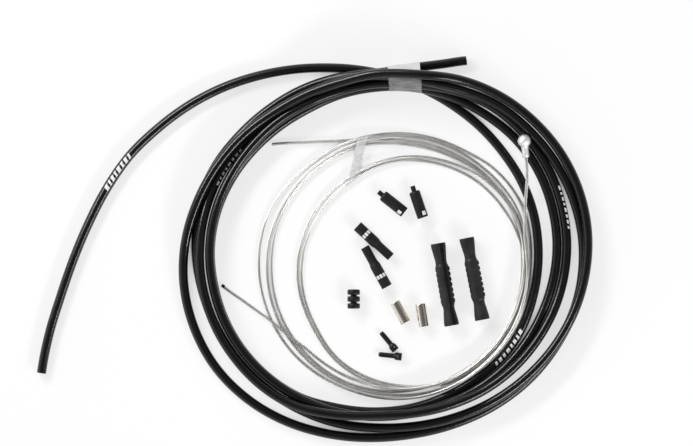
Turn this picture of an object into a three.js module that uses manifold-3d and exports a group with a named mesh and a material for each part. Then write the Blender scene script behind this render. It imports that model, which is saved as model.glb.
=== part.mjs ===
import * as THREE from 'three';
import loadManifold from 'manifold-3d';

const manifold = await loadManifold();
manifold.setup();

// Bicycle brake cable set: a coil of outer housing held by clear tape, two inner wires
// coiled inside it, and the small end fittings lying in the middle.
// Millimetres, +Z up, the set lies flat on z = 0 and is seen from above.

// Outer housing
const HOUSING_DIAMETER = 5.0;
const HOUSING_SIDES = 8;
const HOUSING_PITCH = 5.36;
const HOUSING_STATION = 7.5;
const HOUSING_TAIL_STATION = 3.75;
const COIL_CENTRE_X = 32.6;
const COIL_CENTRE_Y = 0.0;
const CENTRE_SHIFT_X = 0.245;
const CENTRE_SHIFT_Y = 0.085;

// Inner wires
const WIRE_DIAMETER = 1.6;
const WIRE_SIDES = 8;
const WIRE_PITCH = 1.98;
const WIRE_STATION = 9;
const WIRE_CROSSING_STATION = 4.5;
const WIRE_TAIL_STATION = 3;
const RING_CENTRE_X = 44.5;
const RING_CENTRE_Y = -10.0;
const HEAD_DIAMETER = 7.0;
const HEAD_NECK_DIAMETER = 3.8;
const HEAD_LENGTH = 12.6;
const WIRE_OVER_HOUSING = 0.6;
const HEAD_OVER_HOUSING = 0.3;

// Clear tape round the coil and clear film round the wires
const FILM = 0.3;
const FILM_GAP = 0.36;
const TAPE_WIDTH = 17.4;
const TIE_WIDTH = 5.0;
const COIL_OVER_FILM = 0.16;
const STRAND_OVER_TAPE = 0.18;
const WIRES_OVER_FILM = 0.06;

// Nosed ferrules
const NOSED_LENGTH = 18.0;
const NOSED_DIAMETER = 6.0;
const NOSE_DIAMETER = 2.6;
const NOSE_LENGTH = 3.0;

// Connector ferrules
const CONNECTOR_LENGTH = 24.6;
const CONNECTOR_THICK = 5.9;
const CONNECTOR_THIN = 4.8;

// Metal ferrules
const METAL_LENGTH = 12.6;
const METAL_DIAMETER = 5.9;

// Bore that takes the housing, and the hole for the wire
const HOUSING_BORE = 5.1;
const WIRE_HOLE = 2.0;

// Three rubber rings in one moulded strip
const RING_DIAMETER = 6.8;
const RING_NECK = 3.4;
const RING_WIDTH = 2.9;
const RING_STEP = 3.75;
const RING_HOLE = 1.7;

// Rubber frame sleeves
const SLEEVE_LENGTH = 45.0;
const SLEEVE_END = 8.2;
const SLEEVE_WAIST = 6.2;
const SLEEVE_MIDDLE = 7.2;
const SLEEVE_BORE = 5.1;
const SLEEVE_PADS = 7;
const SLEEVE_PAD_LENGTH = 2.0;
const SLEEVE_PAD_STEP = 2.9;
const SLEEVE_PAD_RISE = 0.45;

// Crimped end caps for the wires
const CAP_LENGTH = 12.6;
const CAP_ROD = 2.7;
const CAP_HEAD = 4.2;
const CAP_HOLE = 1.7;

const materials = {
  housing: new THREE.MeshStandardMaterial({ name: 'housing_black', color: 0x0d0d0e, roughness: 0.35 }),
  wire: new THREE.MeshStandardMaterial({ name: 'wire_steel', color: 0xb9b8b4, metalness: 1, roughness: 0.35 }),
  head: new THREE.MeshStandardMaterial({ name: 'head_metal', color: 0xc9c9c9, metalness: 1, roughness: 0.4 }),
  film: new THREE.MeshStandardMaterial({ name: 'clear_film', color: 0xd8dadb, roughness: 0.3 }),
  plastic: new THREE.MeshStandardMaterial({ name: 'fitting_plastic', color: 0x1a1a1b, roughness: 0.6 }),
  metal: new THREE.MeshStandardMaterial({ name: 'ferrule_metal', color: 0xb3aca0, metalness: 1, roughness: 0.35 }),
  rubber: new THREE.MeshStandardMaterial({ name: 'sleeve_rubber', color: 0x161616, roughness: 0.8 }),
  cap: new THREE.MeshStandardMaterial({ name: 'cap_black', color: 0x141415, metalness: 0.2, roughness: 0.4 }),
};

// Route of the housing: degrees clockwise from the top of the coil, radius from its centre.
const housingRoute = [
  [-110.4, 192.4], [-104, 181], [-98.5, 171.8], [-92, 163.2], [-85, 155.6], [-77.5, 148.9],
  [-69, 141.8], [-61.5, 134.8], [-52, 126.8], [-43.5, 120], [-34.5, 113.2], [-25.5, 107.2],
  [-16, 101.8], [-8, 98.2], [0, 95.2], [9, 92.3], [16, 90.4], [28, 88.2],
  [40, 87], [53, 86.5], [65, 87], [78, 87.6], [90, 88], [105, 88.8],
  [118, 89.8], [130, 90], [143, 88.9], [155, 88.3], [168, 88.1], [180, 87.9],
  [195, 88.4], [208, 90], [233, 90.2], [245, 89.9], [258, 89.4], [270, 89.1],
  [285, 87.8], [298, 86.2], [310, 84.8], [323, 84], [335, 84], [348, 85.6],
  [360, 87.2], [369, 88.8],
  [376, 90], [388, 92], [400, 94], [413, 96.4], [425, 97.6], [438, 98],
  [450, 98], [465, 97], [478, 96], [490, 95], [503, 93.4], [515, 91.8],
  [528, 90.7], [540, 90.3], [555, 90.3], [568, 90.3], [593, 90.3], [605, 90.2],
  [618, 89.8], [630, 89.4], [645, 88.4], [658, 87.4], [670, 86.8], [683, 86.6],
  [695, 86.5], [705, 87], [720, 89], [729, 90],
  [736, 91.8], [748, 95.8], [760, 99.5], [773, 101.8], [785, 103], [798, 103.4],
  [810, 103.4], [825, 102.3], [838, 100.4], [850, 98.4], [863, 95.8], [875, 93],
  [888, 90.6], [900, 89.6], [915, 92], [928, 95], [940, 95.9], [953, 95.9],
  [965, 95.8], [978, 95.4], [990, 94.8], [1005, 93.8], [1018, 92.6], [1030, 90.8],
  [1043, 89.5], [1055, 90.2], [1065, 92.5], [1080, 93.3], [1089, 93.4],
  [1096, 93.9], [1108, 97.2], [1120, 101.6], [1133, 105], [1145, 108], [1158, 110.6],
  [1170, 112.2], [1185, 112.4], [1198, 110.8], [1210, 108.9], [1223, 106.2], [1235, 103.8],
  [1248, 102.1], [1260, 101.9], [1275, 103.1], [1288, 104.9], [1300, 106.4], [1313, 107.3],
  [1325, 106.8], [1338, 105.4], [1350, 103.1], [1365, 99.3], [1378, 96.4], [1390, 94.1],
  [1403, 91.8], [1415, 91.2], [1428, 91.7], [1440, 94], [1449, 95.4],
  [1456, 97.2], [1468, 102.2], [1480, 106.5], [1493, 110.2], [1505, 113], [1518, 114.6],
  [1530, 114.6], [1545, 112.8], [1558, 110], [1570, 106.9], [1583, 103.5], [1595, 100.4],
  [1608, 97.8], [1620, 96.5], [1635, 96.2], [1648, 95.8], [1660, 95.7], [1673, 95.7],
  [1685, 95.8], [1698, 96.2], [1710, 97], [1725, 98.1], [1738, 97.2], [1750, 95.7],
  [1763, 94.9], [1775, 94.8], [1788, 94.6], [1800, 94.8], [1807.7, 97.6], [1813.9, 101.3],
  [1820.2, 106.5], [1825.8, 113],
];

// Which stretch lies over which where strands cross: from this angle on, this level.
const housingLevels = [
  [-120, 0], [30, 1], [376, 2], [593, 4], [705, 2.5], [736, 3], [1096, 4], [1300, 5], [1627, 0.5],
];

// Long inner wire, from its head to its free end.
const longWireRoute = [
  [49.6, 91], [54.3, 86.1], [61, 79.1], [66.7, 75], [75.3, 71], [84, 70],
  [90, 70.1], [120, 70.3], [140, 69.9], [160, 70.5], [180, 70.9], [200, 70.9],
  [218, 72.1], [233, 73.1], [251, 74], [270, 74.8], [288, 75.3], [307, 74.4],
  [321, 73.2], [345, 72.6], [360, 72.5],
  [390, 72.8], [405, 74.7], [424, 75.2], [436, 73.6], [450, 71.8], [465, 71.1],
  [480, 70.7], [500, 70.2], [520, 69.8], [540, 69.1], [560, 69.2], [593, 69.9], [611, 70.4],
  [630, 70.5], [648, 70.7], [667, 70.7], [681, 70.7], [705, 70.6], [720, 70.6],
  [750, 70.8], [765, 71.2], [784, 71.8], [796, 71.2], [810, 69.4], [840, 67.9],
  [860, 67.3], [880, 66.6], [900, 65], [915, 63.1], [930, 60.8], [938, 59.2],
  [953, 56.3], [971, 54.9], [990, 54], [1008, 53.5], [1027, 54.1], [1041, 54.6],
  [1053, 55.3], [1065, 56.8], [1080, 59.3],
  [1110, 63.9], [1125, 66.7], [1135, 68.2], [1144, 69.2], [1156, 69.2], [1170, 68.2],
  [1200, 67], [1220, 66.4], [1240, 66], [1260, 65.5], [1280, 65], [1290, 65],
  [1302, 65.4], [1311, 66.6], [1327, 74.2], [1337, 84.2], [1344.2, 95.2],
];
const longWireLevels = [[40, 6], [345, 3], [720, 4], [1080, 5], [1290, 7]];

// Short inner wire, from its free end to the end that lies hidden in the bundle.
const shortWireRoute = [
  [-45.6, 95], [-38.1, 85.7], [-30.1, 78.6], [-22.7, 74.3], [-12, 70.9], [0, 68.7],
  [15, 68.4], [30, 68.6], [45, 69], [64, 68.9], [80, 67.8], [90, 67.3],
  [120, 66.8], [140, 66.3], [160, 66.2], [180, 67.1], [200, 67.9], [233, 68],
  [251, 68.1], [270, 68.1], [288, 68.6], [307, 68.7], [321, 68.8], [345, 68.4],
  [360, 66.8],
  [375, 66.4], [390, 66.8], [405, 68.2], [424, 70.2], [440, 70.1], [450, 69.6],
  [480, 68.8], [500, 68.2], [520, 66.6], [540, 63.7], [555, 61.6], [570, 59.4],
  [578, 57.8], [593, 54.6], [611, 52.9], [630, 51.8], [648, 51.2], [660, 51],
  [667, 51.3], [681, 52.4], [693, 53.4], [705, 55.2], [720, 57.6],
  [735, 59.4], [750, 61.4], [765, 63.6], [784, 65.8], [796, 67.4], [810, 68.8],
  [840, 69.6], [860, 69], [880, 68],
];
const shortWireLevels = [[-50, 1], [345, 2], [705, 2.5]];

// Smooth value of a route between its hand-set points.
function valueAt(table, angle) {
  let i = 0;
  while (i < table.length - 2 && angle > table[i + 1][0]) {
    i += 1;
  }
  const a = table[Math.max(i - 1, 0)];
  const b = table[i];
  const c = table[i + 1];
  const d = table[Math.min(i + 2, table.length - 1)];
  const span = c[0] - b[0];
  const t = (angle - b[0]) / span;
  const slopeB = i > 0 ? (c[1] - a[1]) / (c[0] - a[0]) : (c[1] - b[1]) / span;
  const slopeC = i + 2 < table.length ? (d[1] - b[1]) / (d[0] - b[0]) : (c[1] - b[1]) / span;
  const t2 = t * t;
  const t3 = t2 * t;
  return (2 * t3 - 3 * t2 + 1) * b[1] + (t3 - 2 * t2 + t) * span * slopeB
    + (3 * t2 - 2 * t3) * c[1] + (t3 - t2) * span * slopeC;
}

function levelAt(levels, angle) {
  let level = levels[0][1];
  for (const [from, value] of levels) {
    if (angle >= from) {
      level = value;
    }
  }
  return level;
}

function easeBump(angle, start, full, fullEnd, end) {
  if (angle <= start || angle >= end) {
    return 0;
  }
  const t = angle < full ? (angle - start) / (full - start)
    : angle > fullEnd ? (end - angle) / (end - fullEnd) : 1;
  return t * t * (3 - 2 * t);
}

// Stations along a route: an even grid round the coil, closer where strands cross
// and in the free tails.
function stationsOf(route, stepAt) {
  const first = route[0][0];
  const last = route[route.length - 1][0];
  const angles = [first];
  let next = Math.ceil(first / stepAt(first) + 0.4) * stepAt(first);
  while (next < last - stepAt(next) * 0.4) {
    angles.push(next);
    next += stepAt(next);
  }
  angles.push(last);
  return angles;
}

// Angle within its own turn, from -90 to 270.
function localAngle(angle) {
  return ((((angle + 90) % 360) + 360) % 360) - 90;
}

// Heights: every strand rests on the floor or on the strands below it at its angle,
// and bends down to the next support no faster than its stiffness allows.
function settle(strands, pitch, radius, sag, liftOf, extraOf) {
  const points = [];
  for (const strand of strands) {
    const count = strand.angles.length;
    strand.angles.forEach((angle, k) => {
      points.push({
        strand,
        angle,
        radius: valueAt(strand.route, angle),
        level: levelAt(strand.levels, angle),
        floor: radius + liftOf(angle, valueAt(strand.route, angle)),
        before: k > 0 ? points.length - 1 : -1,
        after: k < count - 1 ? points.length + 1 : -1,
        below: [],
        z: 0,
      });
    });
  }
  for (const p of points) {
    p.z = p.floor;
    for (const q of points) {
      const next = points[q.after];
      if (q.level < p.level && next) {
        const turns = Math.ceil((q.angle - p.angle) / 360 - 1e-6);
        const at = (p.angle + turns * 360 - q.angle) / (next.angle - q.angle);
        const side = Math.abs(p.radius - q.radius - (next.radius - q.radius) * at);
        const reach = pitch + extraOf(p);
        const itself = q.strand === p.strand && turns === 0;
        const apart = at > 0.02 && next.level >= p.level;
        if (at < 0.999 && side < reach && !itself && !apart) {
          p.below.push([q, next, at, Math.sqrt(reach * reach - side * side)]);
        }
      }
    }
  }
  for (let round = 0; round < 400; round += 1) {
    for (const p of points) {
      let z = p.floor;
      for (const [q, next, at, rise] of p.below) {
        z = Math.max(z, q.z + (next.z - q.z) * at + rise);
      }
      if (p.before >= 0 && p.after >= 0) {
        const a = points[p.before];
        const b = points[p.after];
        const wa = b.angle - p.angle;
        const wb = p.angle - a.angle;
        const mean = (a.z * wa + b.z * wb) / (wa + wb);
        z = Math.max(z, mean - sag * wa * wb);
      }
      p.z = z;
    }
  }
  let k = 0;
  for (const strand of strands) {
    strand.points = strand.angles.map(() => {
      const p = points[k];
      k += 1;
      const turn = THREE.MathUtils.degToRad(p.angle);
      return new THREE.Vector3(
        strand.centre[0] + p.radius * Math.sin(turn),
        strand.centre[1] + p.radius * Math.cos(turn),
        p.z,
      );
    });
  }
}

// A route whose samples are exactly its stations, so neighbouring turns nest.
class StationCurve extends THREE.Curve {
  constructor(points) {
    super();
    this.points = points;
  }

  getPoint(t, target = new THREE.Vector3()) {
    const at = t * (this.points.length - 1);
    const i = Math.min(Math.floor(at + 1e-9), this.points.length - 2);
    return target.copy(this.points[i]).lerp(this.points[i + 1], Math.max(at - i, 0));
  }

  getPointAt(u, target) {
    return this.getPoint(u, target);
  }

  getTangentAt(u, target = new THREE.Vector3()) {
    const n = this.points.length - 1;
    const i = Math.round(u * n);
    const a = this.points[Math.max(i - 1, 0)];
    const b = this.points[Math.min(i + 1, n)];
    return target.copy(b).sub(a).normalize();
  }
}

function circleShape(radius, sides) {
  const shape = new THREE.Shape();
  for (let i = 0; i < sides; i += 1) {
    const a = ((i + 0.5) / sides) * Math.PI * 2;
    const x = radius * Math.cos(a);
    const y = radius * Math.sin(a);
    if (i === 0) {
      shape.moveTo(x, y);
    } else {
      shape.lineTo(x, y);
    }
  }
  shape.closePath();
  return shape;
}

function cordGeometry(points, diameter, sides) {
  return new THREE.ExtrudeGeometry(circleShape(diameter / 2, sides), {
    steps: points.length - 1,
    extrudePath: new StationCurve(points),
    bevelEnabled: false,
  });
}

const part = new THREE.Group();
part.name = 'brake_cable_set';

function add(name, geometry, material) {
  const mesh = new THREE.Mesh(geometry, material);
  mesh.name = name;
  part.add(mesh);
  return mesh;
}

// Housing
const housing = {
  route: housingRoute,
  levels: housingLevels,
  centre: [COIL_CENTRE_X, COIL_CENTRE_Y],
  angles: stationsOf(housingRoute, (angle) => {
    const local = localAngle(angle);
    return angle < -30 || (local > -30.1 && local < 37) ? HOUSING_TAIL_STATION : HOUSING_STATION;
  }),
};

// The bundle is lifted a little where the tape passes under it.
function housingLift(angle, radius) {
  const lift = FILM_GAP + FILM + COIL_OVER_FILM;
  return radius < 118 ? lift * easeBump(localAngle(angle), -26, 0, 16, 34) : 0;
}

// The strand that crosses over the tape clears the film as well.
function tapeExtra(p) {
  const room = FILM_GAP + FILM + STRAND_OVER_TAPE;
  return p.angle > 1400 && p.angle < 1500
    ? room * easeBump(localAngle(p.angle), -10, 2, 16, 30) : 0;
}

settle([housing], HOUSING_PITCH, HOUSING_DIAMETER / 2, 0.0068, housingLift, tapeExtra);
add('housing', cordGeometry(housing.points, HOUSING_DIAMETER, HOUSING_SIDES), materials.housing);

// Inner wires
const longWire = {
  route: longWireRoute,
  levels: longWireLevels,
  centre: [RING_CENTRE_X, RING_CENTRE_Y],
  angles: stationsOf(longWireRoute, (angle) => {
    const tail = angle < 81 || angle > 1304.9;
    const local = localAngle(angle);
    return tail ? WIRE_TAIL_STATION : local > -45.1 && local < -0.1 ? WIRE_CROSSING_STATION : WIRE_STATION;
  }),
};
const shortWire = {
  route: shortWireRoute,
  levels: shortWireLevels,
  centre: [RING_CENTRE_X, RING_CENTRE_Y],
  angles: stationsOf(shortWireRoute, (angle) => {
    const local = localAngle(angle);
    return local > -45.1 && local < -0.1 ? WIRE_CROSSING_STATION : WIRE_STATION;
  }),
};

// Height of the wires: over the inner housing turn near the head, and over the film.
let headLift = 0;
function wireLift(angle, radius) {
  const local = localAngle(angle);
  const film = (FILM_GAP + FILM + WIRES_OVER_FILM) * easeBump(local, -60, -38, -2, 14);
  if (angle > 40 && angle < 80 && radius > 71) {
    const over = HOUSING_DIAMETER + WIRE_OVER_HOUSING;
    const slope = 0.11 + headLift / HEAD_LENGTH;
    return film + over * easeBump(radius, 71, 79.5, 200, 300) + slope * Math.max(radius - 79.5, 0);
  }
  return film;
}

// Height at which a ball of this radius just clears the housing below it.
function heightOverHousing(x, y, radius) {
  const reach = radius + HOUSING_DIAMETER / 2 + HEAD_OVER_HOUSING;
  let height = 0;
  for (let k = 0; k < housing.points.length - 1; k += 1) {
    for (let t = 0; t < 1; t += 0.1) {
      const p = housing.points[k].clone().lerp(housing.points[k + 1], t);
      const side = Math.hypot(p.x - x, p.y - y);
      if (side < reach) {
        height = Math.max(height, p.z + Math.sqrt(reach * reach - side * side));
      }
    }
  }
  return height;
}

function headBall() {
  const start = longWire.points[0];
  const axis = start.clone().sub(longWire.points[1]).normalize();
  return start.clone().addScaledVector(axis, 0.3 + HEAD_LENGTH - HEAD_DIAMETER / 2);
}

// The wire's end rises further where the head would meet the housing.
for (let round = 0; round < 3; round += 1) {
  settle([longWire, shortWire], WIRE_PITCH, WIRE_DIAMETER / 2, 0.0052, wireLift, () => 0);
  const ball = headBall();
  headLift += Math.max(heightOverHousing(ball.x, ball.y, HEAD_DIAMETER / 2) - ball.z, 0);
}
add('long_inner_wire', cordGeometry(longWire.points, WIRE_DIAMETER, WIRE_SIDES), materials.wire);
add('short_inner_wire', cordGeometry(shortWire.points, WIRE_DIAMETER, WIRE_SIDES), materials.wire);

function lathe(profile, segments) {
  const points = profile.map(([radius, along]) => new THREE.Vector2(radius, along));
  return new THREE.LatheGeometry(points, segments);
}

// Lays a turned part down: its start at (x, y, z), its length towards the second point.
function lay(mesh, from, to) {
  const start = new THREE.Vector3(...from);
  const along = new THREE.Vector3(...to).sub(start).normalize();
  const side = along.clone().cross(new THREE.Vector3(0, 0, 1)).normalize();
  const up = side.clone().cross(along);
  mesh.matrixAutoUpdate = false;
  mesh.matrix.makeBasis(side, along, up).setPosition(start);
  return mesh;
}

// Pear-shaped head of the long wire: a ball on a short neck.
const wireStart = longWire.points[0];
const wireNext = longWire.points[1];
const headAxis = wireStart.clone().sub(wireNext).normalize();
const neckEnd = wireStart.clone().addScaledVector(headAxis, 0.3);
const ballRadius = HEAD_DIAMETER / 2;
const neckRadius = HEAD_NECK_DIAMETER / 2;
const headProfile = [[0, 0], [neckRadius * 0.8, 0], [neckRadius, 0.6]];
const ballCentre = HEAD_LENGTH - ballRadius;
const neckAngle = Math.asin(neckRadius / ballRadius);
for (let i = 0; i <= 8; i += 1) {
  const a = neckAngle + ((Math.PI - neckAngle) * i) / 8;
  headProfile.push([ballRadius * Math.sin(a), ballCentre - ballRadius * Math.cos(a)]);
}
headProfile[headProfile.length - 1][0] = 0;
const headTop = neckEnd.clone().add(headAxis);
lay(add('long_wire_head', lathe(headProfile, 20), materials.head), neckEnd.toArray(), headTop.toArray());

// A thin closed band of film round a bundle, made from vertical cuts across it.
function bandSection(cords, origin, across, along, offset, gap) {
  const cuts = [];
  for (const points of cords) {
    for (let i = 0; i < points.length - 1; i += 1) {
      const a = points[i];
      const b = points[i + 1];
      const da = (a.x - origin[0]) * along[0] + (a.y - origin[1]) * along[1] - offset;
      const db = (b.x - origin[0]) * along[0] + (b.y - origin[1]) * along[1] - offset;
      if (da * db < 0 || da === 0) {
        const t = da / (da - db);
        const p = a.clone().lerp(b, t);
        const u = (p.x - origin[0]) * across[0] + (p.y - origin[1]) * across[1];
        const run = b.clone().sub(a).normalize();
        const lean = Math.abs(run.x * along[0] + run.y * along[1]);
        cuts.push({ u, z: p.z, wide: 1 / Math.max(lean, 0.5) });
      }
    }
  }
  return (angle, radius) => {
    const nu = Math.cos(angle);
    const nz = Math.sin(angle);
    let best = null;
    let reach = -Infinity;
    for (const cut of cuts) {
      const ru = (radius + gap) * cut.wide;
      const rz = radius + gap;
      const size = Math.hypot(ru * nu, rz * nz);
      const value = cut.u * nu + cut.z * nz + size;
      if (value > reach) {
        reach = value;
        best = [cut.u + (ru * ru * nu) / size, cut.z + (rz * rz * nz) / size];
      }
    }
    return new THREE.Vector3(
      origin[0] + across[0] * best[0] + along[0] * offset,
      origin[1] + across[1] * best[0] + along[1] * offset,
      best[1],
    );
  };
}

function bandGeometry(cords, radius, origin, across, along, width, cutsCount, sides) {
  const rings = [];
  for (let k = 0; k < cutsCount; k += 1) {
    const offset = -width / 2 + (width * k) / (cutsCount - 1);
    const section = bandSection(cords, origin, across, along, offset, FILM_GAP);
    const outerSection = bandSection(cords, origin, across, along, offset, FILM_GAP + FILM);
    const inner = [];
    const outer = [];
    for (let i = 0; i < sides; i += 1) {
      const angle = ((i + 0.5) / sides) * Math.PI * 2;
      inner.push(section(angle, radius));
      outer.push(outerSection(angle, radius));
    }
    rings.push({ inner, outer });
  }
  const positions = [];
  const quad = (a, b, c, d) => {
    positions.push(...a, ...b, ...c, ...a, ...c, ...d);
  };
  for (let k = 0; k < cutsCount; k += 1) {
    const here = rings[k];
    const next = rings[k + 1];
    for (let i = 0; i < sides; i += 1) {
      const j = (i + 1) % sides;
      if (next) {
        quad(here.outer[i], here.outer[j], next.outer[j], next.outer[i]);
        quad(here.inner[j], here.inner[i], next.inner[i], next.inner[j]);
      }
      if (k === 0) {
        quad(here.inner[i], here.inner[j], here.outer[j], here.outer[i]);
      }
      if (k === cutsCount - 1) {
        quad(here.inner[j], here.inner[i], here.outer[i], here.outer[j]);
      }
    }
  }
  const geometry = new THREE.BufferGeometry();
  geometry.setAttribute('position', new THREE.Float32BufferAttribute(positions, 3));
  geometry.computeVertexNormals();
  return geometry;
}

function between(strand, from, to) {
  const kept = [];
  strand.angles.forEach((angle, k) => {
    if (angle > from && angle < to) {
      kept.push(strand.points[k]);
    }
  });
  return kept;
}

// Tape round five strands at the top of the coil. The sixth strand crosses over it.
const tapeSlant = THREE.MathUtils.degToRad(-4);
const tapeCords = [
  between(housing, -12, 32), between(housing, 340, 392), between(housing, 700, 752),
  between(housing, 1060, 1112), between(housing, 1780, 1830),
];
const tapeOrigin = [COIL_CENTRE_X + 15.7, COIL_CENTRE_Y + 92.3];
const tapeAcross = [Math.sin(tapeSlant), Math.cos(tapeSlant)];
const tapeAlong = [Math.cos(tapeSlant), -Math.sin(tapeSlant)];
add(
  'housing_tape',
  bandGeometry(tapeCords, HOUSING_DIAMETER / 2, tapeOrigin, tapeAcross, tapeAlong, TAPE_WIDTH, 18, 24),
  materials.film,
);

// Clear film round the wires, slanting across them at the upper left of their ring.
const tieFrom = [RING_CENTRE_X - 24.2, RING_CENTRE_Y + 46.0];
const tieTo = [RING_CENTRE_X - 18.6, RING_CENTRE_Y + 71.5];
const tieRun = Math.hypot(tieTo[0] - tieFrom[0], tieTo[1] - tieFrom[1]);
const tieAcross = [(tieTo[0] - tieFrom[0]) / tieRun, (tieTo[1] - tieFrom[1]) / tieRun];
const tieAlong = [tieAcross[1], -tieAcross[0]];
const tieCords = [
  between(longWire, 310, 368), between(longWire, 670, 728), between(longWire, 1030, 1088),
  between(shortWire, -40, 8), between(shortWire, 310, 368), between(shortWire, 670, 728),
];
add(
  'wire_tie',
  bandGeometry(tieCords, WIRE_DIAMETER / 2, tieFrom, tieAcross, tieAlong, TIE_WIDTH, 4, 20),
  materials.film,
);

// Nosed ferrules
function nosedFerrule(name, nose, open) {
  const r = NOSED_DIAMETER / 2;
  const profile = [
    [WIRE_HOLE / 2, 0], [NOSE_DIAMETER / 2, 0], [NOSE_DIAMETER / 2, NOSE_LENGTH],
    [r - 0.4, NOSE_LENGTH], [r, NOSE_LENGTH + 0.5], [r, NOSED_LENGTH - 0.2], [r - 0.15, NOSED_LENGTH],
    [HOUSING_BORE / 2, NOSED_LENGTH], [HOUSING_BORE / 2, NOSED_LENGTH - 9],
    [WIRE_HOLE / 2, NOSED_LENGTH - 9], [WIRE_HOLE / 2, 0],
  ];
  lay(add(name, lathe(profile, 20), materials.plastic), [...nose, r], [...open, r]);
}
nosedFerrule('nosed_ferrule_1', [34.2, 30.9], [48.6, 19.5]);
nosedFerrule('nosed_ferrule_2', [52.6, 34.0], [58.3, 17.0]);

// Connector ferrules
function connectorFerrule(name, thick, thin) {
  const r = CONNECTOR_THICK / 2;
  const s = CONNECTOR_THIN / 2;
  const profile = [
    [HOUSING_BORE / 2, 0], [r - 0.15, 0], [r, 0.2], [r, 13.2], [s, 15],
    [s, CONNECTOR_LENGTH - 0.4], [s - 0.4, CONNECTOR_LENGTH], [WIRE_HOLE / 2, CONNECTOR_LENGTH],
    [WIRE_HOLE / 2, 10], [HOUSING_BORE / 2, 10], [HOUSING_BORE / 2, 0],
  ];
  lay(add(name, lathe(profile, 20), materials.plastic), [...thick, r], [...thin, r]);
}
connectorFerrule('connector_ferrule_1', [22.9, 12.4], [41.1, -4.4]);
connectorFerrule('connector_ferrule_2', [38.9, -20.4], [27.0, 0.8]);

// Metal ferrules
function metalFerrule(name, closed, open) {
  const r = METAL_DIAMETER / 2;
  const profile = [
    [WIRE_HOLE / 2, 0], [r - 0.5, 0], [r, 0.5], [r, METAL_LENGTH], [HOUSING_BORE / 2, METAL_LENGTH],
    [HOUSING_BORE / 2, 0.8], [WIRE_HOLE / 2, 0.8], [WIRE_HOLE / 2, 0],
  ];
  lay(add(name, lathe(profile, 24), materials.metal), [...closed, r], [...open, r]);
}
metalFerrule('metal_ferrule_1', [43.1, -28.6], [49.1, -39.9]);
metalFerrule('metal_ferrule_2', [56.8, -29.5], [58.8, -41.7]);

// Strip of three rubber rings, joined by narrow necks
const ringProfile = [[RING_HOLE / 2, 0]];
for (let i = 0; i < 3; i += 1) {
  const y = i * RING_STEP;
  const r = RING_DIAMETER / 2;
  if (i > 0) {
    ringProfile.push([RING_NECK / 2, y]);
  }
  ringProfile.push([r - 0.5, y], [r, y + 0.6], [r, y + RING_WIDTH - 0.6], [r - 0.5, y + RING_WIDTH]);
  if (i < 2) {
    ringProfile.push([RING_NECK / 2, y + RING_WIDTH]);
  }
}
const stripLength = 2 * RING_STEP + RING_WIDTH;
ringProfile.push([RING_HOLE / 2, stripLength], [RING_HOLE / 2, 0]);
lay(
  add('rubber_ring_strip', lathe(ringProfile, 16), materials.rubber),
  [20.9, -32.2, RING_DIAMETER / 2],
  [20.9, 0, RING_DIAMETER / 2],
);

// Rubber frame sleeves: flared ends, a waist and a thicker middle with a row of raised pads
const { Manifold } = manifold;

function fromManifold(solid) {
  const mesh = solid.getMesh();
  const positions = [];
  for (const index of mesh.triVerts) {
    const at = index * mesh.numProp;
    positions.push(mesh.vertProperties[at], mesh.vertProperties[at + 1], mesh.vertProperties[at + 2]);
  }
  const geometry = new THREE.BufferGeometry();
  geometry.setAttribute('position', new THREE.Float32BufferAttribute(positions, 3));
  geometry.computeVertexNormals();
  return geometry.rotateX(-Math.PI / 2);
}

function frameSleeve(name, top, bottom) {
  const end = SLEEVE_END / 2;
  const waist = SLEEVE_WAIST / 2;
  const middle = SLEEVE_MIDDLE / 2;
  const bore = SLEEVE_BORE / 2;
  const half = SLEEVE_LENGTH / 2;
  const outline = [
    [bore, -half], [end - 0.2, -half], [end, -half + 0.3], [end - 0.15, -half + 2.2],
    [waist + 0.3, -half + 6.5], [waist, -half + 8.5], [waist, -half + 10.4], [middle, -half + 11.6],
    [middle, half - 12.6], [waist, half - 11.4], [waist, half - 9], [waist + 0.3, half - 7],
    [end - 0.15, half - 2.2], [end, half - 0.3], [end - 0.2, half], [bore, half],
  ];
  let solid = Manifold.revolve([outline], 20);
  const first = -half + 12.4;
  for (let i = 0; i < SLEEVE_PADS; i += 1) {
    const pad = Manifold.cube([1.4, 3.2, SLEEVE_PAD_LENGTH], false)
      .translate([middle + SLEEVE_PAD_RISE - 1.4, -1.6, first + i * SLEEVE_PAD_STEP]);
    solid = solid.add(pad);
  }
  const middlePoint = [(top[0] + bottom[0]) / 2, (top[1] + bottom[1]) / 2, end];
  lay(add(name, fromManifold(solid), materials.rubber), middlePoint, [...top, end]);
}
frameSleeve('frame_sleeve_1', [66.3, 3.3], [73.9, -41.5]);
frameSleeve('frame_sleeve_2', [81.8, 6.0], [90.4, -38.2]);

// End caps that are crimped on the cut wire
function endCap(name, tip, open) {
  const rod = CAP_ROD / 2;
  const head = CAP_HEAD / 2;
  const profile = [
    [0, 0], [rod * 0.6, 0.15], [rod, 0.9], [rod, CAP_LENGTH - 4.2], [head, CAP_LENGTH - 3],
    [head, CAP_LENGTH - 0.3], [head - 0.2, CAP_LENGTH], [CAP_HOLE / 2, CAP_LENGTH],
    [CAP_HOLE / 2, 3], [0, 2.6],
  ];
  lay(add(name, lathe(profile, 16), materials.cap), [...tip, rod + 0.08], [...open, head + 0.24]);
}
endCap('end_cap_1', [35.6, -45.0], [43.4, -54.4]);
endCap('end_cap_2', [34.3, -56.9], [47.3, -58.3]);

// Centres the set over the frame's origin.
for (const mesh of part.children) {
  mesh.geometry.applyMatrix4(mesh.matrix).translate(CENTRE_SHIFT_X, CENTRE_SHIFT_Y, 0);
  mesh.matrix.identity();
}

export default part;
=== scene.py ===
import math

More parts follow.
